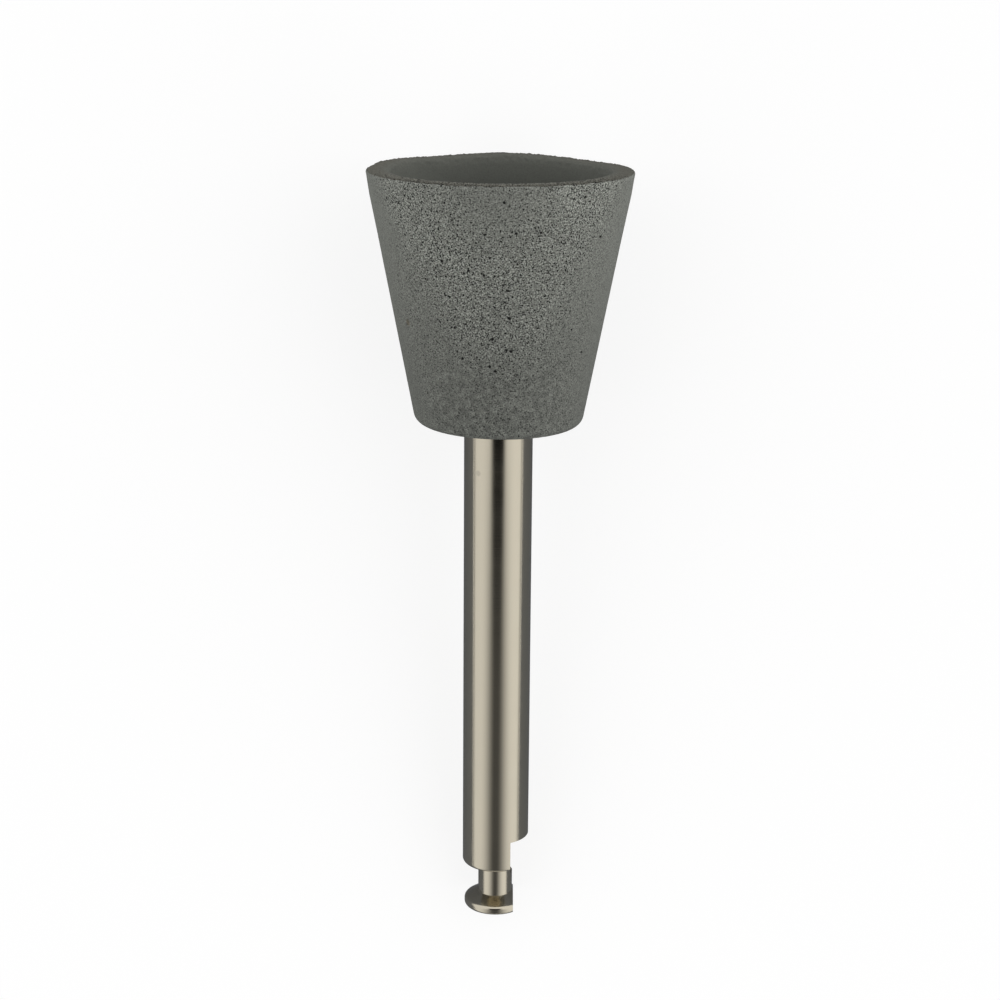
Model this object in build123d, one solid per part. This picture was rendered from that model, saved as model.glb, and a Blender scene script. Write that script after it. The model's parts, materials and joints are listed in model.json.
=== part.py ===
from build123d import *

import os
from math import asin, atan, atan2, cos, degrees, hypot, radians, sin, tan

# A silicone polisher for a right-angle handpiece: a moulded rubber cup on a turned steel latch shank.
# Both pieces are drawn upright, with the rim of the cup at height zero, its mouth facing up and
# the shank running down. Then the tool is laid on its side, as it rests on a table:
# the rim and the shank's free end touch the ground, and the mouth faces +Y.
# Lengths are in millimetres and angles in degrees.

# Whole tool
overall_length = 26.64          # rim to the shank's free end

# Moulded cup
rim_diameter = 8.95
base_diameter = 5.64            # where the wall's slope would meet the base
cup_height = 8.62               # rim to the corner of the base
base_crown = 0.15               # how far the base swells on its way in to the shank
base_rounding = 0.36
wall_thickness = 0.8            # square to the sloping wall
rim_rounding = 0.1
cavity_depth = 4.7
cavity_rounding = 1.2           # between the cavity's wall and its floor

# Head of the shank, hidden in the rubber
embedded_length = 3.0
head_diameter = 2.0             # turned down, so that the rubber seats on a shoulder
head_chamfer = 0.2
retention_rings = 3             # grooves that the rubber grips
ring_width = 0.35
ring_depth = 0.2

# Shank and its latch end
shank_diameter = 2.35
latch_length = 2.82             # shoulder of the flat to the free end
flat_height = 0.54              # the flat's distance from the shank's axis
flat_overrun = 0.42             # how far the flat runs on into the groove
groove_width = 1.17             # plain body to the foot of the button's cone
groove_diameter = 1.22
button_diameter = 2.21
button_thickness = 0.29         # at its edge
button_cone = 0.25              # height of its sloping top
button_flat_height = 0.65       # the button's own, shallower flat
edge_rounding = 0.12            # turned edges beside the groove and at the free end

# Levels and radii that follow from these
rim_radius = rim_diameter / 2
base_radius = base_diameter / 2
shank_radius = shank_diameter / 2
head_radius = head_diameter / 2
neck_radius = groove_diameter / 2
button_radius = button_diameter / 2
wall_angle = degrees(atan((rim_radius - base_radius) / cup_height))
mouth_radius = rim_radius - wall_thickness / cos(radians(wall_angle))
floor_radius = mouth_radius - cavity_depth * tan(radians(wall_angle))
base_level = -cup_height - base_crown
head_level = base_level + embedded_length
end_level = -overall_length
button_level = end_level + button_thickness
cone_level = button_level + button_cone
groove_level = cone_level + groove_width
shoulder_level = end_level + latch_length


def turned(outline, roundings):
    """Turns a closed outline of (radius, height) points round the upright axis.

    roundings lists the points that are rounded, each with its radius.
    """
    face = make_face(Polyline(*outline, close=True))
    for corner, radius in roundings:
        face = fillet(face.vertices().sort_by_distance(corner)[0], radius)
    return revolve(Plane.XZ * face, Axis.Z)


def shank_blank():
    """The turned shank before its flats are cut: ringed head, plain body, groove and end button."""
    outline = [
        (0, head_level),
        (head_radius - head_chamfer, head_level),
        (head_radius, head_level - head_chamfer),
    ]
    ring_pitch = embedded_length / (retention_rings + 1)
    for ring in range(retention_rings):
        middle = head_level - ring_pitch * (ring + 1)
        top = middle + ring_width / 2
        bottom = middle - ring_width / 2
        outline.append((head_radius, top))
        outline.append((head_radius - ring_depth, top))
        outline.append((head_radius - ring_depth, bottom))
        outline.append((head_radius, bottom))
    body_end = (shank_radius, groove_level)
    button_top = (button_radius, button_level)
    free_end = (button_radius, end_level)
    outline += [
        (head_radius, base_level),
        (shank_radius, base_level),
        body_end,
        (neck_radius, groove_level),
        (neck_radius, cone_level),
        button_top,
        free_end,
        (0, end_level),
    ]
    return turned(outline, [(edge, edge_rounding) for edge in (body_end, button_top, free_end)])


def milling_cut(height, top, bottom):
    """What a cutter clears on the +X side, from height off the axis outwards, between two levels."""
    reach = shank_diameter
    block = Box(reach, 2 * reach, top - bottom, align=(Align.MIN, Align.CENTER, Align.MIN))
    return Pos(height, 0, bottom) * block


def latch_shank():
    """The steel shank: a deep flat above the groove seats the latch, a shallow one clears the button."""
    blank = shank_blank()
    latch_flat = milling_cut(flat_height, shoulder_level, groove_level - flat_overrun)
    button_flat = milling_cut(button_flat_height, cone_level, end_level)
    return blank - latch_flat - button_flat


def polishing_cup():
    """The rubber cup, moulded round the head of the shank and open at the mouth."""
    cavity_corner = (floor_radius, -cavity_depth)
    mouth_edge = (mouth_radius, 0)
    rim_edge = (rim_radius, 0)
    base_corner = (base_radius, -cup_height)
    outline = [
        (0, -cavity_depth),
        cavity_corner,
        mouth_edge,
        rim_edge,
        base_corner,
        (shank_radius, base_level),
        (0, base_level),
    ]
    roundings = [
        (cavity_corner, cavity_rounding),
        (mouth_edge, rim_rounding),
        (rim_edge, rim_rounding),
        (base_corner, base_rounding),
    ]
    return turned(outline, roundings) - shank_blank()


def resting_place():
    """Where the upright tool goes to lie with its rim and its free end on the ground.

    Both touch it with a rounded edge, so the slope comes from the centres of the two roundings.
    """
    wall = radians(wall_angle)
    rim_center = rim_radius - rim_rounding * (tan(wall) + 1 / cos(wall))
    end_center = button_radius - edge_rounding
    along = -rim_rounding - (end_level + edge_rounding)
    across = rim_center - end_center
    lean = atan2(across, along) + asin((rim_rounding - edge_rounding) / hypot(along, across))
    height = rim_rounding * sin(lean) + rim_center * cos(lean) + rim_rounding
    front = rim_center * sin(lean) - rim_rounding * cos(lean) + rim_rounding
    back = (end_level + edge_rounding) * cos(lean) - end_center * sin(lean) - edge_rounding
    return Pos(0, -(front + back) / 2, height) * Rot(X=degrees(lean) - 90)


os.makedirs("parts", exist_ok=True)
place = resting_place()
export_step(place * polishing_cup(), "parts/polishing_cup.step")
export_step(place * latch_shank(), "parts/latch_shank.step")
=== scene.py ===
import json
from math import acos, atan, cos, pi, radians, sin, tan

import bpy
import numpy as np
from mathutils import Matrix, Vector, noise


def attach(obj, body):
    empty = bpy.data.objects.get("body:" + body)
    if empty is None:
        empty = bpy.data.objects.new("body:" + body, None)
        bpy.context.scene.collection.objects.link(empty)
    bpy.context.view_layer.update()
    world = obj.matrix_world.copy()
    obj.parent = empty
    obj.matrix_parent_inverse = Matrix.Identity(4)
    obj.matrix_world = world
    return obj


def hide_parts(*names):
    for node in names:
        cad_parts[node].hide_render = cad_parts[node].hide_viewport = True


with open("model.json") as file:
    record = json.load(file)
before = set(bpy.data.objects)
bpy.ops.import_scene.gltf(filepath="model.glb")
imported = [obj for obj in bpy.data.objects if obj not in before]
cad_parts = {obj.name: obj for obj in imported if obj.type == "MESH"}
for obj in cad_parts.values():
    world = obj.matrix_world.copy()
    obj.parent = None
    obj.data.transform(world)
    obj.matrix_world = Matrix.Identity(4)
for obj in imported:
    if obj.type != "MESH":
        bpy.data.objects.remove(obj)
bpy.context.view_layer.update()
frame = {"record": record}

# A silicone polisher lying on a pale floor: a speckled rubber cup on a bright steel latch shank.
# Both are built upright, with the cup's rim at height zero and its mouth up, then laid down onto
# the frame. Lengths are millimetres in this script, and metres once the pieces are laid down.
MM = 0.001

# Moulded cup
RIM_RADIUS = 4.475
BASE_RADIUS = 2.82              # where the wall's slope would meet the base
CUP_HEIGHT = 8.62
BASE_CROWN = 0.15
BASE_ROUNDING = 0.36
WALL_THICKNESS = 0.8            # square to the sloping wall
RIM_ROUNDING = 0.1
MOUTH_ROUNDING = 0.22           # the rim's inner edge
CAVITY_DEPTH = 4.7
CAVITY_ROUNDING = 1.2

# Shank and its latch end
OVERALL_LENGTH = 26.64          # rim to the shank's free end
SHANK_RADIUS = 1.175
HEAD_RADIUS = 1.0               # the head, hidden in the rubber
HEAD_LENGTH = 3.0
HEAD_CHAMFER = 0.2
RINGS = 3
RING_WIDTH = 0.35
RING_DEPTH = 0.2
LATCH_LENGTH = 2.82             # shoulder of the flat to the free end
FLAT_HEIGHT = 0.54              # the flat's distance from the axis
FLAT_RUN = 0.42                 # how far the flat runs on into the groove
GROOVE_WIDTH = 1.17             # to where the button's cone starts
NECK_RADIUS = 0.61
BUTTON_RADIUS = 1.105
BUTTON_THICKNESS = 0.29         # at its rim
BUTTON_CONE = 0.25              # from its rim up to the neck
BUTTON_FLAT_HEIGHT = 0.65
TURNED_ROUNDING = 0.12

# Levels, angles and radii that follow from these
BASE_LEVEL = -CUP_HEIGHT - BASE_CROWN
WALL_ANGLE = atan((RIM_RADIUS - BASE_RADIUS) / CUP_HEIGHT)
MOUTH_RADIUS = RIM_RADIUS - WALL_THICKNESS / cos(WALL_ANGLE)
FLOOR_RADIUS = MOUTH_RADIUS - CAVITY_DEPTH * tan(WALL_ANGLE)
HEAD_LEVEL = BASE_LEVEL + HEAD_LENGTH
END_LEVEL = -OVERALL_LENGTH
BUTTON_LEVEL = END_LEVEL + BUTTON_THICKNESS
CONE_LEVEL = BUTTON_LEVEL + BUTTON_CONE
GROOVE_LEVEL = CONE_LEVEL + GROOVE_WIDTH
SHOULDER_LEVEL = END_LEVEL + LATCH_LENGTH

# Where the upright cup goes: the frame's shank mount gives the axis and the cup's base
shank_mount = next(m for m in frame["record"]["mounts"] if m["name"] == "shank")
to_end = Vector(shank_mount["axis"]).normalized()
ACROSS = Vector((1, 0, 0))      # the side that the latch flats face
TO_MOUTH = -to_end
AWAY = ACROSS.cross(TO_MOUTH) * -1   # square to the axis, down and away from the camera
base_center = Vector(shank_mount["pos_m"]) + TO_MOUTH * shank_mount["dims"]["length_mm"] / 2 * MM
RIM_CENTER = base_center - TO_MOUTH * BASE_LEVEL * MM


def laid_down(points):
    """Upright points in millimetres, as rows of (x, y, height), in the frame's metres."""
    axes = np.array((ACROSS, AWAY, TO_MOUTH))
    return points @ axes * MM + np.array(RIM_CENTER)


def placed(name, data):
    """A new object in the scene, at the origin."""
    piece = bpy.data.objects.new(name, data)
    bpy.context.scene.collection.objects.link(piece)
    return piece


# Camera: pixels of the photograph's 1000 x 1000 frame
FRAME_PIXELS = 1000
FOCAL_PIXELS = 2108
CAMERA_DISTANCE = 70.0          # from the cup's axis
CAMERA_HEIGHT = 8.07            # above the rim, towards the mouth
CAMERA_SHIFT = 0.07
CAMERA_PITCH = radians(15.58)
CAMERA_ROLL = radians(-0.45)
SENSOR_WIDTH = 36
CLIP_START = 1.0
CLIP_END = 20000.0


def camera_directions(away, to_mouth):
    """The camera's right, up and ahead, from the two directions that its pitch lies between."""
    ahead = away * cos(CAMERA_PITCH) - to_mouth * sin(CAMERA_PITCH)
    level_up = to_mouth * cos(CAMERA_PITCH) + away * sin(CAMERA_PITCH)
    level_right = ahead.cross(level_up)
    up = level_up * cos(CAMERA_ROLL) + level_right * sin(CAMERA_ROLL)
    return ahead.cross(up), up, ahead


def make_camera():
    """Looks down on the lying tool from where the photograph sees it standing."""
    data = bpy.data.cameras.new("camera")
    data.sensor_width = SENSOR_WIDTH
    data.lens = FOCAL_PIXELS / FRAME_PIXELS * data.sensor_width
    data.clip_start = CLIP_START * MM
    data.clip_end = CLIP_END * MM
    camera = placed("camera", data)
    right, up, ahead = camera_directions(AWAY, TO_MOUTH)
    offset = -AWAY * CAMERA_DISTANCE + TO_MOUTH * CAMERA_HEIGHT + ACROSS * CAMERA_SHIFT
    place = RIM_CENTER + offset * MM
    turn = Matrix((right, up, -ahead)).transposed().to_4x4()
    camera.matrix_world = Matrix.Translation(place) @ turn
    bpy.context.scene.camera = camera


# Nodes
def put(tree, target, value):
    """Sets a socket, or links it if value is a socket."""
    if isinstance(value, bpy.types.NodeSocket):
        tree.links.new(value, target)
    else:
        target.default_value = value


def math_node(tree, operation, a, b=0.0, third=0.0):
    node = tree.nodes.new("ShaderNodeMath")
    node.operation = operation
    for socket, given in zip(node.inputs, (a, b, third)):
        put(tree, socket, given)
    return node.outputs[0]


def vector_node(tree, operation, *given):
    """The result of one vector operation: a number for a dot product, length or distance, else a vector."""
    node = tree.nodes.new("ShaderNodeVectorMath")
    node.operation = operation
    for socket, value in zip(node.inputs, given):
        put(tree, socket, value)
    return node.outputs["Value" if operation in ("DOT_PRODUCT", "LENGTH", "DISTANCE") else "Vector"]


def scaled(tree, vector, factor):
    """A vector or colour times a number."""
    node = tree.nodes.new("ShaderNodeVectorMath")
    node.operation = "SCALE"
    put(tree, node.inputs[0], vector)
    put(tree, node.inputs["Scale"], factor)
    return node.outputs[0]


def ramp(tree, value, low, high, to_low=0.0, to_high=1.0, smooth=True):
    """Maps value from low..high onto to_low..to_high, held at the ends."""
    node = tree.nodes.new("ShaderNodeMapRange")
    node.interpolation_type = "SMOOTHSTEP" if smooth else "LINEAR"
    for socket, given in zip(node.inputs[:5], (value, low, high, to_low, to_high)):
        put(tree, socket, given)
    return node.outputs[0]


def mix_color(tree, factor, a, b, blend="MIX"):
    node = tree.nodes.new("ShaderNodeMix")
    node.data_type = "RGBA"
    node.blend_type = blend
    put(tree, node.inputs["Factor"], factor)
    put(tree, node.inputs["A"], a)
    put(tree, node.inputs["B"], b)
    return node.outputs["Result"]


def coordinates(tree):
    """The surface's own coordinates, in millimetres."""
    source = tree.nodes.new("ShaderNodeTexCoord")
    return scaled(tree, source.outputs["Object"], 1 / MM)


ASIDE = (1.0, 0.7, 0.3)         # the way in which a second pattern is moved off the first


def moved(tree, place, amount):
    """The same coordinates, moved aside so that two patterns don't line up."""
    return vector_node(tree, "ADD", place, [amount * share for share in ASIDE])


def pushed(tree, place, per_mm, amount):
    """The same coordinates, pushed about by up to amount millimetres, so that round forms come out ragged."""
    node = tree.nodes.new("ShaderNodeTexNoise")
    tree.links.new(place, node.inputs["Vector"])
    node.inputs["Scale"].default_value = per_mm
    node.inputs["Detail"].default_value = 0.0
    centred = vector_node(tree, "SUBTRACT", node.outputs["Color"], (0.5, 0.5, 0.5))
    return vector_node(tree, "MULTIPLY_ADD", centred, (2 * amount,) * 3, place)


def noise_node(tree, place, per_mm, detail=2.0, roughness=0.5):
    node = tree.nodes.new("ShaderNodeTexNoise")
    put(tree, node.inputs["Vector"], place)
    node.inputs["Scale"].default_value = per_mm
    node.inputs["Detail"].default_value = detail
    node.inputs["Roughness"].default_value = roughness
    return node.outputs["Fac"]


def dots(tree, place, per_mm, smallest, largest, soft=0.5, share=1.0):
    """Scattered round dots, 1 inside and 0 outside, with radii from smallest to largest in millimetres.

    There is at most one to a cell, and share says in how many of the cells there is one.
    """
    node = tree.nodes.new("ShaderNodeTexVoronoi")
    put(tree, node.inputs["Vector"], place)
    node.inputs["Scale"].default_value = per_mm
    split = tree.nodes.new("ShaderNodeSeparateColor")
    tree.links.new(node.outputs["Color"], split.inputs[0])
    radius = ramp(tree, split.outputs[0], 0.0, 1.0, smallest * per_mm, largest * per_mm, smooth=False)
    inner = math_node(tree, "MULTIPLY", radius, soft)
    dot = ramp(tree, node.outputs["Distance"], inner, radius, 1.0, 0.0)
    if share < 1.0:
        dot = math_node(tree, "MULTIPLY", dot, math_node(tree, "LESS_THAN", split.outputs[1], share))
    return dot


def bumped(tree, shader, height, strength, depth):
    """Gives the shader a bump from height, at full height depth millimetres deep."""
    bump = tree.nodes.new("ShaderNodeBump")
    bump.inputs["Strength"].default_value = strength
    bump.inputs["Distance"].default_value = depth * MM
    tree.links.new(height, bump.inputs["Height"])
    tree.links.new(bump.outputs[0], shader.inputs["Normal"])


def linear(red, green, blue):
    """A colour given as 8-bit sRGB values, as Blender's linear colour."""
    def part(value):
        value = value / 255
        return value / 12.92 if value <= 0.04045 else ((value + 0.055) / 1.055) ** 2.4
    return (part(red), part(green), part(blue), 1.0)


def principled(name):
    """A new material with its tree and its shader."""
    material = bpy.data.materials.new(name)
    material.use_nodes = True
    tree = material.node_tree
    return material, tree, tree.nodes["Principled BSDF"]


# Rubber. A range of noise is followed by what it turns into; a noise is its scale per millimetre,
# its detail and its roughness
GRIT_PER_MM = 22.0
GRIT_DARK = (0.22, 0.42, 0.9, 0.0)
GRIT_PALE = (0.5, 0.75, 0.0, 0.9)
DARKEST = 0.03                          # the least tone that the specks and the pores' painted shade leave
GRAIN_PER_MM = (7.0, 5.8)               # two sizes of mesh for the single dark grains
GRAIN_OFFSETS = (1.7, 5.1)
GRAIN_RADIUS = (0.025, 0.045)
GRAIN_SOFT = 0.6                        # share of a grain's radius where its edge starts
GRAIN_SHARE = 0.3
PATCHES = (0.4, 2.0, 0.6)
PATCH_OFFSET = 4.3
PATCH_RANGE = (0.38, 0.6)
MOTTLE = (1.1, 3.0, 0.55)
OUTSIDE_MOTTLE = (0.3, 0.7, 0.975, 1.025)
MOUTH_MOTTLE = (0.3, 0.7, 0.97, 1.03)
RAGGED = (14.0, 0.02)                   # how finely and how far round forms are pushed about
SMALL_PORES = (3.0, 0.0, 0.045)         # cells per millimetre, and the least and greatest radius
SMALL_PORE_OFFSET = 3.3
RUBBER_ROUGHNESS = 0.85
RUBBER_SPECULAR = 0.3
RUBBER_BUMP = (0.8, 0.012)              # strength and depth
OUTSIDE_COLOR = linear(116, 118, 112)
RIM_COLOR = linear(97, 96, 88)
INSIDE_COLOR = linear(101, 103, 97)
STAIN_COLOR = linear(92, 80, 58)
OUTSIDE_SPECKS = (0.85, 1.1)            # how strong they are, from calm patches to busy ones
BUSY_LEVEL = -4.0                       # where they are strongest on the line that faces the camera
BUSY_RISE = 8.3                         # how much higher that is at the sides
BUSY_REACH = (0.5, 4.0, 1.7, 0.75)      # distance from that level, and the strength there
CALM_SIDES = (0.55, 0.9, 1.0, 0.5)      # square of the share to the side, and the strength there
EDGE_BAND = (-0.12, 0.0)                # levels where the outside's specks grow stronger, by
EDGE_SPECKS = 0.5
OUTSIDE_PAINTED_SHADE = (-8.3, -0.5, 0.79, 1.04) # painted shade: tone between two levels, darker towards the base
# painted shade: the cavity darker further in
INSIDE_PAINTED_SHADE = (-1.3, -0.05, 0.83, 1.04)
LEFT_PAINTED_LIGHT = (-3.6, -0.9, 1.12, 0.83)    # painted light: least tone of the cavity, from its lit left side inwards
RIM_BLEND = (3.45, 4.2)                 # distance from the axis, from the cavity's colour to the rim's
RIM_EDGE = (4.36, 4.43)                 # where the crumbly outer edge, darkened with painted shade, begins at the sides and where it does at the front and the back, from this share of the distance towards them
BROAD_EDGE = (4.12, 4.32)               # and where it does at the front and the back,
BROAD_FROM = (0.1, 0.8)                 # from this share of the distance towards them
# painted shade: how dark the rim's outer edge is painted, as a dark outline
EDGE_SHADE = 0.65
EDGE_CRUMBS = 1.25                      # strength of the rim's specks
FRONT_RIM = (0.1, 0.95)                 # share towards the camera, to where the whole rim is speckled
FRONT_BAND = (3.7, 3.95)                # and distance from the axis
FRONT_TONE = 0.95
CRUMB_STRETCH = -0.45                   # lengthens the rim's specks across it, at the front and the back
INSIDE_SPECKS = 0.1
# Pores that the photograph shows, worked out once from pixels read one by one: angle round the axis in
# degrees, 0 at ACROSS and -90 facing the camera, and level
PORES = [
    (-138.0, -0.85), (-146.7, -0.78), (-88.3, -0.63), (-52.3, -0.55), (-38.4, -1.93), (-72.0, -1.61),
    (-83.0, -1.62), (-117.5, -2.61), (-104.5, -2.86), (-97.3, -3.00), (-85.6, -3.50), (-85.0, -4.42),
    (-93.5, -5.13), (-86.1, -5.50), (-83.6, -5.54), (-110.5, -5.83), (-95.1, -6.06), (-92.0, -6.22),
]
PORE_RADIUS = 0.07
STAIN = (-147.3, -4.9)                  # angle round the axis in degrees, and level
STAIN_RADIUS = 0.16
STAIN_STRENGTH = 0.55
SPOT_CORE = 0.45                        # share of a spot's radius that has its full strength
BLOTCHES = (-7.0, -5.0, 0.19, 0.0)      # strength of the soft blotches, between two levels
BLOTCH_SIDES = (0.25, 0.8, 1.0, 0.25)   # square of the share to the side, and their strength there
BLOTCHES_PER_MM = 4.5
BLOTCH_RANGE = (0.35, 0.65, -1.0, 1.0)


def wall_point(angle, level):
    """The point on the cup's outer wall, upright and in millimetres."""
    radius = RIM_RADIUS + level * tan(WALL_ANGLE)
    return radius * cos(radians(angle)), radius * sin(radians(angle)), level


def wall_points(spots):
    return [wall_point(*spot) for spot in spots]


def shank_point(angle, level):
    """The point on the plain body of the shank, upright and in millimetres."""
    return SHANK_RADIUS * cos(radians(angle)), SHANK_RADIUS * sin(radians(angle)), level


def nearness(tree, place, points, radius):
    """1 at any of the upright points, falling to 0 a radius away."""
    nearest = radius
    for point in laid_down(np.array(points)):
        nearest = math_node(tree, "MINIMUM", vector_node(tree, "DISTANCE", place, point / MM), nearest)
    return ramp(tree, nearest, SPOT_CORE * radius, radius, 1.0, 0.0)


def around_axis(tree, place):
    """Where each point is: its level, its distance from the axis, and its shares of that distance.

    The first share is towards the camera and the second to the side that the latch flats face.
    """
    offset = vector_node(tree, "SUBTRACT", place, RIM_CENTER / MM)
    level = vector_node(tree, "DOT_PRODUCT", offset, TO_MOUTH)
    distance = vector_node(tree, "LENGTH", vector_node(tree, "CROSS_PRODUCT", offset, TO_MOUTH))
    depth = vector_node(tree, "DOT_PRODUCT", offset, AWAY)
    side = vector_node(tree, "DOT_PRODUCT", offset, ACROSS)
    front = math_node(tree, "MULTIPLY", math_node(tree, "DIVIDE", depth, distance), -1.0)
    return level, distance, front, math_node(tree, "DIVIDE", side, distance)


def grit(tree, place, amount):
    """Fine dark and pale specks: how much darker and how much paler each point is."""
    powder = noise_node(tree, place, GRIT_PER_MM, 0.0)
    dark = ramp(tree, powder, *GRIT_DARK)
    for per_mm, offset in zip(GRAIN_PER_MM, GRAIN_OFFSETS):
        aside = moved(tree, place, offset)
        grains = dots(tree, aside, per_mm, *GRAIN_RADIUS, GRAIN_SOFT, GRAIN_SHARE)
        dark = math_node(tree, "MAXIMUM", dark, grains)
    pale = ramp(tree, powder, *GRIT_PALE, smooth=False)
    return math_node(tree, "MULTIPLY", dark, amount), math_node(tree, "MULTIPLY", pale, amount)


def painted(tree, shader, color, tone, height):
    """Gives the matt rubber its colour times its tone, and its grain as bump."""
    tree.links.new(scaled(tree, color, tone), shader.inputs["Base Color"])
    shader.inputs["Roughness"].default_value = RUBBER_ROUGHNESS
    shader.inputs["Specular IOR Level"].default_value = RUBBER_SPECULAR
    bumped(tree, shader, height, *RUBBER_BUMP)


def product(tree, *factors):
    result = factors[0]
    for factor in factors[1:]:
        result = math_node(tree, "MULTIPLY", result, factor)
    return result


def speckled_tone(tree, dark, pale):
    """The tone that the dark and the pale specks leave, never quite black."""
    tone = math_node(tree, "MAXIMUM", math_node(tree, "SUBTRACT", 1.0, dark), DARKEST)
    return math_node(tree, "ADD", tone, pale)


def outside_specks(tree, place, level, side_squared):
    """How strong the wall's specks are, by place: busiest on a curved band and along the rim's edge."""
    patches = noise_node(tree, moved(tree, place, PATCH_OFFSET), *PATCHES)
    busy_level = math_node(tree, "MULTIPLY_ADD", side_squared, BUSY_RISE, BUSY_LEVEL)
    from_busy = math_node(tree, "ABSOLUTE", math_node(tree, "SUBTRACT", level, busy_level))
    amount = product(
        tree,
        ramp(tree, patches, *PATCH_RANGE, *OUTSIDE_SPECKS),
        ramp(tree, from_busy, *BUSY_REACH),
        ramp(tree, side_squared, *CALM_SIDES),
    )
    return math_node(tree, "ADD", amount, ramp(tree, level, *EDGE_BAND, 0.0, EDGE_SPECKS))


def outside_blotches(tree, place, level, side_squared):
    """The tone of the soft blotches low on the wall's middle."""
    blotches = ramp(tree, noise_node(tree, place, BLOTCHES_PER_MM, 1.0), *BLOTCH_RANGE, smooth=False)
    strength = product(tree, ramp(tree, level, *BLOTCHES), ramp(tree, side_squared, *BLOTCH_SIDES))
    return math_node(tree, "MULTIPLY_ADD", blotches, strength, 1.0)


def outside_rubber():
    """The moulded wall: pale rubber with dark abrasive specks, open pores in painted shade, a stain, soft
    mottling and painted shade towards the base.
    """
    material, tree, shader = principled("silicone_outside")
    place = coordinates(tree)
    level, _, _, side = around_axis(tree, place)
    side_squared = math_node(tree, "MULTIPLY", side, side)
    mottle = noise_node(tree, place, *MOTTLE)
    ragged = pushed(tree, place, *RAGGED)
    small_pores = dots(tree, moved(tree, ragged, SMALL_PORE_OFFSET), *SMALL_PORES)
    seen_pores = nearness(tree, ragged, wall_points(PORES), PORE_RADIUS)
    holes = math_node(tree, "MAXIMUM", small_pores, seen_pores)
    stain = nearness(tree, ragged, wall_points([STAIN]), STAIN_RADIUS)
    dark, pale = grit(tree, place, outside_specks(tree, place, level, side_squared))
    tone = product(
        tree,
        speckled_tone(tree, dark, pale),
        outside_blotches(tree, place, level, side_squared),
        ramp(tree, mottle, *OUTSIDE_MOTTLE, smooth=False),
        # painted shade: the wall darker towards its base
        ramp(tree, level, *OUTSIDE_PAINTED_SHADE),
        # painted shade: the pores darkened nearly to black
        ramp(tree, holes, 0.0, 1.0, 1.0, DARKEST, smooth=False),
    )
    stained = math_node(tree, "MULTIPLY", stain, STAIN_STRENGTH)
    color = mix_color(tree, stained, OUTSIDE_COLOR, STAIN_COLOR)
    height = math_node(tree, "MULTIPLY", math_node(tree, "ADD", dark, holes), -1.0)
    painted(tree, shader, color, tone, height)
    return material


def mouth_rubber():
    """The rim and the cavity: smooth, with painted shade further in and painted light on the cavity's left,
    speckled along the rim's edge and front, with painted shade on that edge.
    """
    material, tree, shader = principled("silicone_mouth")
    place = coordinates(tree)
    level, distance, front, side = around_axis(tree, place)
    mottle = noise_node(tree, place, *MOTTLE)
    rim_share = ramp(tree, distance, *RIM_BLEND)
    broad = ramp(tree, math_node(tree, "ABSOLUTE", front), *BROAD_FROM)
    edge = product(tree, broad, ramp(tree, distance, *BROAD_EDGE))
    edge = math_node(tree, "MAXIMUM", edge, ramp(tree, distance, *RIM_EDGE))
    band = product(tree, ramp(tree, front, *FRONT_RIM), ramp(tree, distance, *FRONT_BAND))
    speckled = math_node(tree, "MAXIMUM", edge, band)
    amount = math_node(tree, "MULTIPLY_ADD", speckled, EDGE_CRUMBS, INSIDE_SPECKS)
    depth = math_node(tree, "MULTIPLY", vector_node(tree, "DOT_PRODUCT", place, AWAY), CRUMB_STRETCH)
    dark, pale = grit(tree, vector_node(tree, "MULTIPLY_ADD", AWAY, depth, place), amount)
    # painted shade, darker further into the cavity, and painted light on its left side
    cavity_light_and_shade = ramp(tree, level, *INSIDE_PAINTED_SHADE)
    across = math_node(tree, "MULTIPLY", side, distance)
    cavity_light_and_shade = math_node(tree, "MAXIMUM", cavity_light_and_shade, ramp(tree, across, *LEFT_PAINTED_LIGHT))
    tone = product(
        tree,
        speckled_tone(tree, dark, pale),
        cavity_light_and_shade,
        ramp(tree, mottle, *MOUTH_MOTTLE, smooth=False),
        ramp(tree, band, 0.0, 1.0, 1.0, FRONT_TONE, smooth=False),
        # painted shade along the rim's outer edge
        ramp(tree, edge, 0.0, 1.0, 1.0, EDGE_SHADE, smooth=False),
    )
    color = mix_color(tree, rim_share, INSIDE_COLOR, RIM_COLOR)
    painted(tree, shader, color, tone, math_node(tree, "MULTIPLY", dark, -1.0))
    return material


# Steel
STEEL_COLOR = (0.517, 0.475, 0.382, 1)
STEEL_ROUGHNESS = (0.3, 0.7, 0.12, 0.18)    # from the noise of its smudges
SMUDGES = (1.3, 3.0)                    # their scale per millimetre and their detail
LINES_PER_MM = 24
LINE_DETAIL = 3
LINE_BUMP = (0.08, 0.01)                # strength and depth
SHANK_SPECK = (-125.0, -10.25)          # a faint smudge on the steel: angle and level
SPECK_RADIUS = 0.13
SPECK_STRENGTH = 0.16
SPECK_COLOR = (0.02, 0.02, 0.02, 1)


def turning_lines(tree, place):
    """Noise along the shank's axis alone, for lines that run round it."""
    lines = tree.nodes.new("ShaderNodeTexNoise")
    lines.noise_dimensions = "1D"
    lines.inputs["Scale"].default_value = LINES_PER_MM
    lines.inputs["Detail"].default_value = LINE_DETAIL
    tree.links.new(vector_node(tree, "DOT_PRODUCT", place, TO_MOUTH), lines.inputs["W"])
    return lines.outputs["Fac"]


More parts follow.
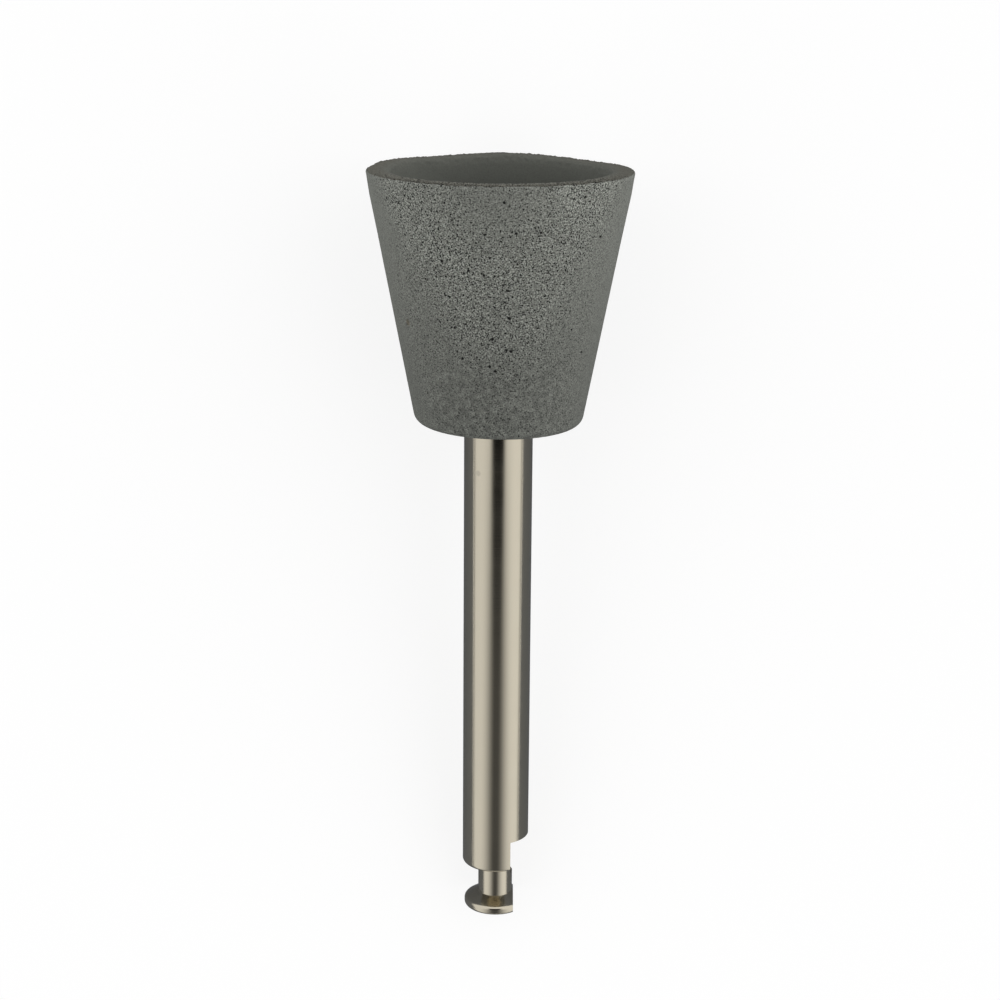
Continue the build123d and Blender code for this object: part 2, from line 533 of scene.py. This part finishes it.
def steel():
    """Bright ground steel with faint turning lines round the axis."""
    material, tree, shader = principled("shank_steel_finish")
    place = coordinates(tree)
    shader.inputs["Metallic"].default_value = 1.0
    rough = ramp(tree, noise_node(tree, place, *SMUDGES), *STEEL_ROUGHNESS, smooth=False)
    tree.links.new(rough, shader.inputs["Roughness"])
    speck = nearness(tree, place, [shank_point(*SHANK_SPECK)], SPECK_RADIUS)
    speck = math_node(tree, "MULTIPLY", speck, SPECK_STRENGTH)
    tree.links.new(mix_color(tree, speck, STEEL_COLOR, SPECK_COLOR), shader.inputs["Base Color"])
    bumped(tree, shader, turning_lines(tree, place), *LINE_BUMP)
    return material


# Cup mesh
COLUMNS = 440
FLOOR_ROWS = 12                 # from the cavity's floor outwards, stretch by stretch
CAVITY_ROUND_ROWS = 14
CAVITY_ROWS = 44
MOUTH_ROUND_ROWS = 6
RIM_ROWS = 10
RIM_ROUND_ROWS = 6
WALL_ROWS = 104
BASE_ROUND_ROWS = 9
BASE_ROWS = 14
ON_AXIS = 1e-9                  # a row nearer to the axis than this is a pole
WALL_BULGE = 0.025              # how far the moulded wall swells past its straight line
BULGE_FROM = 0.3                # how far below the rim that starts, and the height it grows over
BULGE_OVER = 0.5
INSIDE_GRAIN = 0.003            # how deep the fine grain of the skin is
OUTSIDE_GRAIN = 0.006
GRAINS_PER_MM = 7.0
RIM_CRUMB = 0.04                # how uneven the rim's face is
CRUMBS_PER_MM = 13.0
EDGE_CHIP = 0.05                # how deep the crumbs are that are missing from the rim's outer edge
EDGE_REACH = 0.16               # how far from that edge they fade out
CHIPS_PER_MM = 4.6
CHIP_SHARES = (0.4, 1.8, 0.12)  # share of that depth on average, its gain with the noise, and the least
RIM_DROP = 0.09                 # how far most of the rim lies below its highest place, at the back
RIM_SWELLS = [(-0.09, 88, 24), (0.03, 42, 14), (-0.06, 150, 20)]    # more drop, middle angle, spread
RIM_DROP_OVER = 2.2             # the depth below the rim where the drop has faded out
BASE_TILT = 0.03                # how much further the base reaches on the right, and less on the left
BASE_TILT_FROM = 3              # how far below the rim that starts, and the height it grows over
BASE_TILT_OVER = 5
PIT_RADIUS = 0.07               # of the pores that the photograph shows
PIT_DEPTH = 0.5                 # as a share of a pit's radius
PIT_COUNT = 60                  # of the scattered ones
PIT_LEVELS = (-0.15, 8.2, 0.8)  # the highest level, the height below it, and how evenly they spread
PIT_SIZES = (0.05, 0.04, 2)     # the least radius, the range above it, and how rare the large ones are
SEED = 7
rng = np.random.default_rng(SEED)


def straight(start, end, count):
    """Points from start up to, but not including, end."""
    return [start.lerp(end, i / count) for i in range(count)]


def rounded(before, corner, after, radius, count):
    """Points of a round of that radius between two straight stretches that meet at a corner."""
    back = (before - corner).normalized()
    on = (after - corner).normalized()
    half = acos(back.dot(on)) / 2
    reach = radius / tan(half)
    center = corner + (back + on).normalized() * radius / sin(half)
    first = corner + back * reach - center
    last = corner + on * reach - center
    turn = pi - 2 * half
    return [center + (first * sin(turn * (1 - i / count)) + last * sin(turn * i / count)) / sin(turn)
            for i in range(count + 1)]


def cup_profile():
    """Rows of (radius, height) from the cavity's floor over the rim and down to the base and the socket.

    Returns the points, and for each the name of its zone.
    """
    floor_center = Vector((0.0, -CAVITY_DEPTH))
    cavity_corner = Vector((FLOOR_RADIUS, -CAVITY_DEPTH))
    mouth_edge = Vector((MOUTH_RADIUS, 0.0))
    rim_edge = Vector((RIM_RADIUS, 0.0))
    base_corner = Vector((BASE_RADIUS, -CUP_HEIGHT))
    base_end = Vector((SHANK_RADIUS, BASE_LEVEL))
    socket_edge = Vector((HEAD_RADIUS, BASE_LEVEL))
    socket_top = Vector((HEAD_RADIUS, HEAD_LEVEL))
    socket_center = Vector((0.0, HEAD_LEVEL))
    floor_round = rounded(floor_center, cavity_corner, mouth_edge, CAVITY_ROUNDING, CAVITY_ROUND_ROWS)
    mouth_round = rounded(cavity_corner, mouth_edge, rim_edge, MOUTH_ROUNDING, MOUTH_ROUND_ROWS)
    rim_round = rounded(mouth_edge, rim_edge, base_corner, RIM_ROUNDING, RIM_ROUND_ROWS)
    base_round = rounded(rim_edge, base_corner, base_end, BASE_ROUNDING, BASE_ROUND_ROWS)
    floor = straight(floor_center, floor_round[0], FLOOR_ROWS)
    cavity = straight(floor_round[-1], mouth_round[0], CAVITY_ROWS)[1:]
    rim = straight(mouth_round[-1], rim_round[0], RIM_ROWS)[1:]
    wall = straight(rim_round[-1], base_round[0], WALL_ROWS)[1:]
    base = straight(base_round[-1], base_end, BASE_ROWS)[1:]
    half = RIM_ROUND_ROWS // 2
    parts = [
        ("inside", floor + floor_round + cavity),
        ("rim", mouth_round + rim + rim_round[:half]),
        ("outside", rim_round[half:] + wall + base_round + base + [base_end]),
        ("socket", [socket_edge, socket_top, socket_center]),
    ]
    points, zones = [], []
    for zone, stretch in parts:
        points += stretch
        zones += [zone] * len(stretch)
    return points, zones


def swell(angle, middle, spread):
    """1 at the middle angle, falling away on both sides; all in degrees."""
    off = (angle - middle + 180) % 360 - 180
    return np.exp(-(off / spread) ** 2)


def rim_drop(angle):
    """How far the rim lies below its plane: the crumbly edge stands highest at the back."""
    drop = RIM_DROP
    for amount, middle, spread in RIM_SWELLS:
        drop = drop + amount * swell(angle, middle, spread)
    return drop


def base_drop(angle):
    """How far the base reaches past its plane on the right, and short of it on the left."""
    return BASE_TILT * np.cos(np.radians(angle))


def scattered_pits():
    """Open pores that are deep enough to see: (angle, level, radius) on the outer wall."""
    found = [(angle, level, PIT_RADIUS) for angle, level in PORES]
    top, height, crowding = PIT_LEVELS
    least, more, rarity = PIT_SIZES
    for _ in range(PIT_COUNT):
        level = top - height * rng.random() ** crowding
        found.append((rng.random() * 360, level, least + more * rng.random() ** rarity))
    return found


def surface_noise(points, per_mm):
    """Smooth noise at each point of a grid of points."""
    values = [noise.noise(Vector(point) * per_mm) for point in points.reshape(-1, 3)]
    return np.array(values).reshape(points.shape[:2])


def round_angles(columns):
    return np.arange(columns) * 2 * pi / columns


def around(rows, columns):
    """Rows of (radius, height) turned round the axis: one point for each row and column."""
    angles = round_angles(columns)
    across = rows[:, :1]
    up = rows[:, 1:] * np.ones(columns)
    return np.stack([across * np.cos(angles), across * np.sin(angles), up], 2)


def ring_normals(rings):
    """The direction out of the rubber at each ring, as (across, up)."""
    steps = np.gradient(rings, axis=0)
    steps /= np.hypot(steps[:, 0], steps[:, 1])[:, None]
    return np.stack([-steps[:, 1], steps[:, 0]], 1)


def worn_depth(points, rings, zone):
    """How deep the skin's fine grain, the rim's crumbs and the missing chips of its edge go in."""
    grain = np.where(zone == "inside", INSIDE_GRAIN, OUTSIDE_GRAIN)[:, None]
    depth = grain * (0.5 + 0.5 * surface_noise(points, GRAINS_PER_MM))
    crumbs = np.clip(0.5 + surface_noise(points, CRUMBS_PER_MM), 0, 1)
    depth = depth + (zone == "rim")[:, None] * RIM_CRUMB * crumbs
    average, gain, least = CHIP_SHARES
    chips = np.clip(average + gain * surface_noise(points, CHIPS_PER_MM), least, 1)
    from_edge_squared = (rings[:, :1] - RIM_RADIUS) ** 2 + rings[:, 1:] ** 2
    return depth + np.exp(-from_edge_squared / EDGE_REACH ** 2) * EDGE_CHIP * chips


def with_pits(points, depth):
    """The same depth with the open pores pressed in."""
    for angle, level, size in scattered_pits():
        distance = np.linalg.norm(points - wall_point(angle, level), axis=2)
        share = np.clip(1 - (distance / size) ** 2, 0, 1)
        depth = np.maximum(depth, PIT_DEPTH * size * share)
    return depth


def cup_mesh():
    """The cup's whole skin as one closed mesh: its points, its faces and the zone of each ring."""
    profile, zones = cup_profile()
    rows = np.array([tuple(point) for point in profile])
    off_axis = rows[:, 0] > ON_AXIS
    rings = rows[off_axis]
    zone = np.array(zones)[off_axis]
    level = rings[:, 1:]
    skin = (zone != "socket")[:, None]
    wall = (zone == "outside")[:, None]
    points = around(rings, COLUMNS)
    depth = with_pits(points, worn_depth(points, rings, zone)) * skin
    bulge = np.clip((-level - BULGE_FROM) / BULGE_OVER, 0, 1) * wall * WALL_BULGE
    points = points + around(ring_normals(rings), COLUMNS) * (bulge - depth)[:, :, None]
    near_rim = np.clip(1 + level / RIM_DROP_OVER, 0, 1) * skin
    near_base = np.clip((-level - BASE_TILT_FROM) / BASE_TILT_OVER, 0, 1) * wall
    angles = np.degrees(round_angles(COLUMNS))
    points[:, :, 2] -= rim_drop(angles) * near_rim + base_drop(angles) * near_base
    poles = [[0, 0, rows[0][1]], [0, 0, rows[-1][1]]]
    return np.vstack([points.reshape(-1, 3), poles]), faces_of(len(rings), COLUMNS), zone


def faces_of(ring_count, columns):
    """Quads between the rings and a fan of triangles at each pole, for rows that run down the outside."""
    faces = []
    for row in range(ring_count - 1):
        for column in range(columns):
            after = (column + 1) % columns
            a = row * columns + column
            b = row * columns + after
            faces.append((a, a + columns, b + columns, b))
    first, last = ring_count * columns, ring_count * columns + 1
    end = (ring_count - 1) * columns
    for column in range(columns):
        after = (column + 1) % columns
        faces.append((first, column, after))
        faces.append((last, end + after, end + column))
    return faces


def polishing_cup():
    """The rubber cup, with one material on its wall and base and one in its mouth."""
    verts, faces, zone = cup_mesh()
    mesh = bpy.data.meshes.new("rubber_cup")
    mesh.from_pydata(laid_down(verts).tolist(), [], faces)
    mesh.update()
    mesh.materials.append(outside_rubber())
    mesh.materials.append(mouth_rubber())
    slot_of = {"outside": 0, "socket": 0, "rim": 1, "inside": 1}
    ring_slots = [slot_of[z] for z in zone]
    indices = [ring_slots[row] for row in range(len(zone) - 1) for _ in range(COLUMNS)]
    indices += [slot_of["inside"], slot_of["socket"]] * COLUMNS
    mesh.polygons.foreach_set("material_index", indices)
    mesh.polygons.foreach_set("use_smooth", [True] * len(mesh.polygons))
    cup = placed("rubber_cup", mesh)
    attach(cup, "root")
    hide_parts("polishing_cup")
    return cup


# Shank mesh
SHANK_COLUMNS = 256
ROUND_ROWS = 8
HOLD = 0.05                     # from a rounding to the ring that keeps the long face beside it straight
CUT_REACH = 4 * SHANK_RADIUS    # well past the shank
WORN_EDGE = 0.02                # bevel asked for on edges; the mesh's shortest edges hold it to about 0.001
WORN_SEGMENTS = 2
WORN_FROM = radians(40)         # edges as sharp as this get it
SHARP_FROM = radians(13)        # and edges as sharp as this aren't shaded smooth


def shank_profile():
    """Rows of (radius, height) from the head's top to the free end, as turned, before the flats."""
    body_end = Vector((SHANK_RADIUS, GROOVE_LEVEL))
    neck_top = Vector((NECK_RADIUS, GROOVE_LEVEL))
    neck_end = Vector((NECK_RADIUS, CONE_LEVEL))
    button_top = Vector((BUTTON_RADIUS, BUTTON_LEVEL))
    free_edge = Vector((BUTTON_RADIUS, END_LEVEL))
    end_center = Vector((0.0, END_LEVEL))
    seat_edge = Vector((SHANK_RADIUS, BASE_LEVEL))
    points = [
        (0.0, HEAD_LEVEL),
        (HEAD_RADIUS - HEAD_CHAMFER, HEAD_LEVEL),
        (HEAD_RADIUS, HEAD_LEVEL - HEAD_CHAMFER),
    ]
    for ring in range(1, RINGS + 1):
        middle = HEAD_LEVEL - HEAD_LENGTH / (RINGS + 1) * ring
        top, bottom = middle + RING_WIDTH / 2, middle - RING_WIDTH / 2
        points += [(HEAD_RADIUS, top), (HEAD_RADIUS - RING_DEPTH, top)]
        points += [(HEAD_RADIUS - RING_DEPTH, bottom), (HEAD_RADIUS, bottom)]
    points += [(HEAD_RADIUS, BASE_LEVEL), seat_edge, (SHANK_RADIUS, BASE_LEVEL - HOLD)]
    points += [(SHANK_RADIUS, GROOVE_LEVEL + TURNED_ROUNDING + HOLD)]
    points += rounded(seat_edge, body_end, neck_top, TURNED_ROUNDING, ROUND_ROWS)
    points += [neck_top, neck_end]
    points += rounded(neck_end, button_top, free_edge, TURNED_ROUNDING, ROUND_ROWS)
    points += rounded(button_top, free_edge, end_center, TURNED_ROUNDING, ROUND_ROWS)
    points += [(BUTTON_RADIUS - TURNED_ROUNDING - HOLD, END_LEVEL)]
    return [tuple(p) for p in points + [end_center]]


def turned_mesh(name, profile, columns):
    """Turns rows of (radius, height) round the axis; the first and last row lie on the axis."""
    rings = np.array(profile[1:-1])
    poles = [[0, 0, profile[0][1]], [0, 0, profile[-1][1]]]
    verts = np.vstack([around(rings, columns).reshape(-1, 3), poles])
    mesh = bpy.data.meshes.new(name)
    mesh.from_pydata(verts.tolist(), [], faces_of(len(rings), columns))
    return mesh


def milling_cut(height, top, bottom):
    """What the cutter clears on the flats' side, from height off the axis outwards, between two levels."""
    sides = (-CUT_REACH, CUT_REACH)
    verts = [(x, y, z) for z in (bottom, top) for y in sides for x in (height, height + CUT_REACH)]
    faces = [(0, 2, 3, 1), (4, 5, 7, 6), (0, 1, 5, 4), (2, 6, 7, 3), (0, 4, 6, 2), (1, 3, 7, 5)]
    mesh = bpy.data.meshes.new("milling_cut")
    mesh.from_pydata(verts, [], faces)
    return mesh


def milled(shank):
    """The shank's mesh with its two flats cut, as its modifiers give it."""
    cuts = [
        placed("latch_flat_cut", milling_cut(FLAT_HEIGHT, SHOULDER_LEVEL, GROOVE_LEVEL - FLAT_RUN)),
        placed("button_flat_cut", milling_cut(BUTTON_FLAT_HEIGHT, CONE_LEVEL, END_LEVEL - SHANK_RADIUS)),
    ]
    for cut in cuts:
        trim = shank.modifiers.new("trim", "BOOLEAN")
        trim.operation = "DIFFERENCE"
        trim.solver = "EXACT"
        trim.object = cut
    edges = shank.modifiers.new("edges", "BEVEL")
    edges.width = WORN_EDGE
    edges.segments = WORN_SEGMENTS
    edges.limit_method = "ANGLE"
    edges.angle_limit = WORN_FROM
    view = bpy.context.evaluated_depsgraph_get()
    mesh = bpy.data.meshes.new_from_object(shank.evaluated_get(view))
    shank.modifiers.clear()
    for cut in cuts:
        bpy.data.objects.remove(cut)
    return mesh


def latch_shank():
    """The steel shank with its two milled flats."""
    shank = placed("steel_shank", turned_mesh("steel_shank", shank_profile(), SHANK_COLUMNS))
    mesh = milled(shank)
    verts = np.zeros(len(mesh.vertices) * 3)
    mesh.vertices.foreach_get("co", verts)
    mesh.vertices.foreach_set("co", laid_down(verts.reshape(-1, 3)).ravel())
    mesh.polygons.foreach_set("use_smooth", [True] * len(mesh.polygons))
    mesh.set_sharp_from_angle(angle=SHARP_FROM)
    mesh.update()
    mesh.materials.append(steel())
    shank.data = mesh
    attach(shank, "root")
    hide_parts("latch_shank")
    return shank


# Floor, card and world
FLOOR_SIDE = 1200.0
FLOOR_COLOR = 0.85              # to the light that reaches matt surfaces
FLOOR_WHITE = 1.06              # where the camera or a mirror sees it, glow and colour together
FLOOR_GLOW = 0.82               # how much of its white is its own where the camera or a mirror sees it
CARD_SIDE = 120.0
CARD_GAP = 0.02                 # above the floor
CARD_COLOR = (0.26, 0.275, 0.3, 1)
SKY_LIGHT = 1.12
SKY_SLANT = (0.045, 0.15)       # how much brighter the right side is, in reflections and on matt surfaces
SKY_SIDES = (0.56, 1.8)         # on matt surfaces, the light from overhead and from straight to the sides
HORIZON_LIGHT = 0.3             # as a share, below the edge of the tent
HORIZON = (-0.02, 0.16)         # heights between which the tent's edge fades
FLAG_DARK = (0.997, 0.91)       # how dark the flag is, overhead and towards the shank's end
FLAG_SOFTENS = (radians(21.6), radians(26.8))   # from overhead, where it turns paler and softer
FLAG_INNER = (0.242, 0.08)      # it fades out sideways from here to here, sharply overhead
FLAG_OUTER = (0.508, 0.82)      # and softly towards the shank's end
FLAG_FROM = (radians(-22), radians(-6))         # and fades in and out between these, from overhead
FLAG_TO = (radians(72), radians(88))            # towards the shank's end


def sheet(name, side, height):
    """A level square stage sheet, centred under the tool."""
    half = side / 2 * MM
    mesh = bpy.data.meshes.new(name)
    corners = [(-half, -half, height * MM), (half, -half, height * MM)]
    corners += [(half, half, height * MM), (-half, half, height * MM)]
    mesh.from_pydata(corners, [], [(0, 1, 2, 3)])
    piece = placed(name, mesh)
    return piece


def make_floor():
    """A pale floor, white to the camera and in reflections, which keeps a soft shadow of the tool."""
    floor = sheet("floor", FLOOR_SIDE, 0.0)
    material = bpy.data.materials.new("floor")
    material.use_nodes = True
    tree = material.node_tree
    tree.nodes.clear()
    paths = tree.nodes.new("ShaderNodeLightPath")
    seen = math_node(tree, "MAXIMUM", paths.outputs["Is Camera Ray"], paths.outputs["Is Glossy Ray"])
    seen = math_node(tree, "MAXIMUM", seen, paths.outputs["Is Transmission Ray"])
    matt = tree.nodes.new("ShaderNodeBsdfDiffuse")
    shade = ramp(tree, seen, 0.0, 1.0, FLOOR_COLOR, FLOOR_WHITE - FLOOR_GLOW, smooth=False)
    tree.links.new(shade, matt.inputs[0])
    glow = tree.nodes.new("ShaderNodeEmission")
    tree.links.new(math_node(tree, "MULTIPLY", seen, FLOOR_GLOW), glow.inputs["Strength"])
    both = tree.nodes.new("ShaderNodeAddShader")
    tree.links.new(matt.outputs[0], both.inputs[0])
    tree.links.new(glow.outputs[0], both.inputs[1])
    out = tree.nodes.new("ShaderNodeOutputMaterial")
    tree.links.new(both.outputs[0], out.inputs[0])
    floor.data.materials.append(material)


def make_card():
    """A grey card under the tool, seen only in reflections, for the dark edges of the shank."""
    card = sheet("grey_card", CARD_SIDE, CARD_GAP)
    material, _, shader = principled("grey_card")
    shader.inputs["Base Color"].default_value = CARD_COLOR
    shader.inputs["Roughness"].default_value = 1.0
    shader.inputs["Specular IOR Level"].default_value = 0.0
    card.data.materials.append(material)
    card.visible_camera = False
    card.visible_diffuse = False
    card.visible_transmission = False
    card.visible_volume_scatter = False
    card.visible_shadow = False


def flag_share(tree, x, y, z):
    """How much of the tent's light the dark flag takes away in each direction.

    It hangs overhead along the shank, and is paler and softer towards the shank's end.
    """
    side = math_node(tree, "ABSOLUTE", x)
    along = math_node(tree, "ARCTAN2", math_node(tree, "MULTIPLY", y, -1.0), z)
    darkness, inner, outer = (
        ramp(tree, along, *FLAG_SOFTENS, *pair) for pair in (FLAG_DARK, FLAG_INNER, FLAG_OUTER)
    )
    return product(
        tree,
        ramp(tree, side, inner, outer, 1.0, 0.0),
        darkness,
        ramp(tree, along, *FLAG_FROM),
        ramp(tree, along, *FLAG_TO, 1.0, 0.0),
    )


def make_world():
    """A white tent with one dark flag overhead, which makes the shank's dark stripe.

    Matt surfaces get more light from the sides than reflections do, and the camera sees plain white.
    """
    world = bpy.data.worlds.new("studio")
    bpy.context.scene.world = world
    world.use_nodes = True
    tree = world.node_tree
    background = tree.nodes["Background"]
    background.inputs["Color"].default_value = (1, 1, 1, 1)
    source = tree.nodes.new("ShaderNodeTexCoord")
    split = tree.nodes.new("ShaderNodeSeparateXYZ")
    tree.links.new(source.outputs["Generated"], split.inputs[0])
    x, y, z = (split.outputs[axis] for axis in "XYZ")
    paths = tree.nodes.new("ShaderNodeLightPath")
    matt = paths.outputs["Is Diffuse Ray"]
    slant = ramp(tree, matt, 0.0, 1.0, *SKY_SLANT, smooth=False)
    sides = ramp(tree, math_node(tree, "MULTIPLY", x, x), 0.0, 1.0, *SKY_SIDES, smooth=False)
    light = product(
        tree,
        ramp(tree, z, *HORIZON, HORIZON_LIGHT * SKY_LIGHT, SKY_LIGHT),
        math_node(tree, "SUBTRACT", 1.0, flag_share(tree, x, y, z)),
        math_node(tree, "MULTIPLY_ADD", x, slant, 1.0),
        ramp(tree, matt, 0.0, 1.0, 1.0, sides, smooth=False),
    )
    strength = ramp(tree, paths.outputs["Is Camera Ray"], 0.0, 1.0, light, 1.0, smooth=False)
    tree.links.new(strength, background.inputs["Strength"])


make_camera()
make_world()
make_floor()
make_card()
bpy.context.scene.view_settings.view_transform = "Standard"
polishing_cup()
latch_shank()
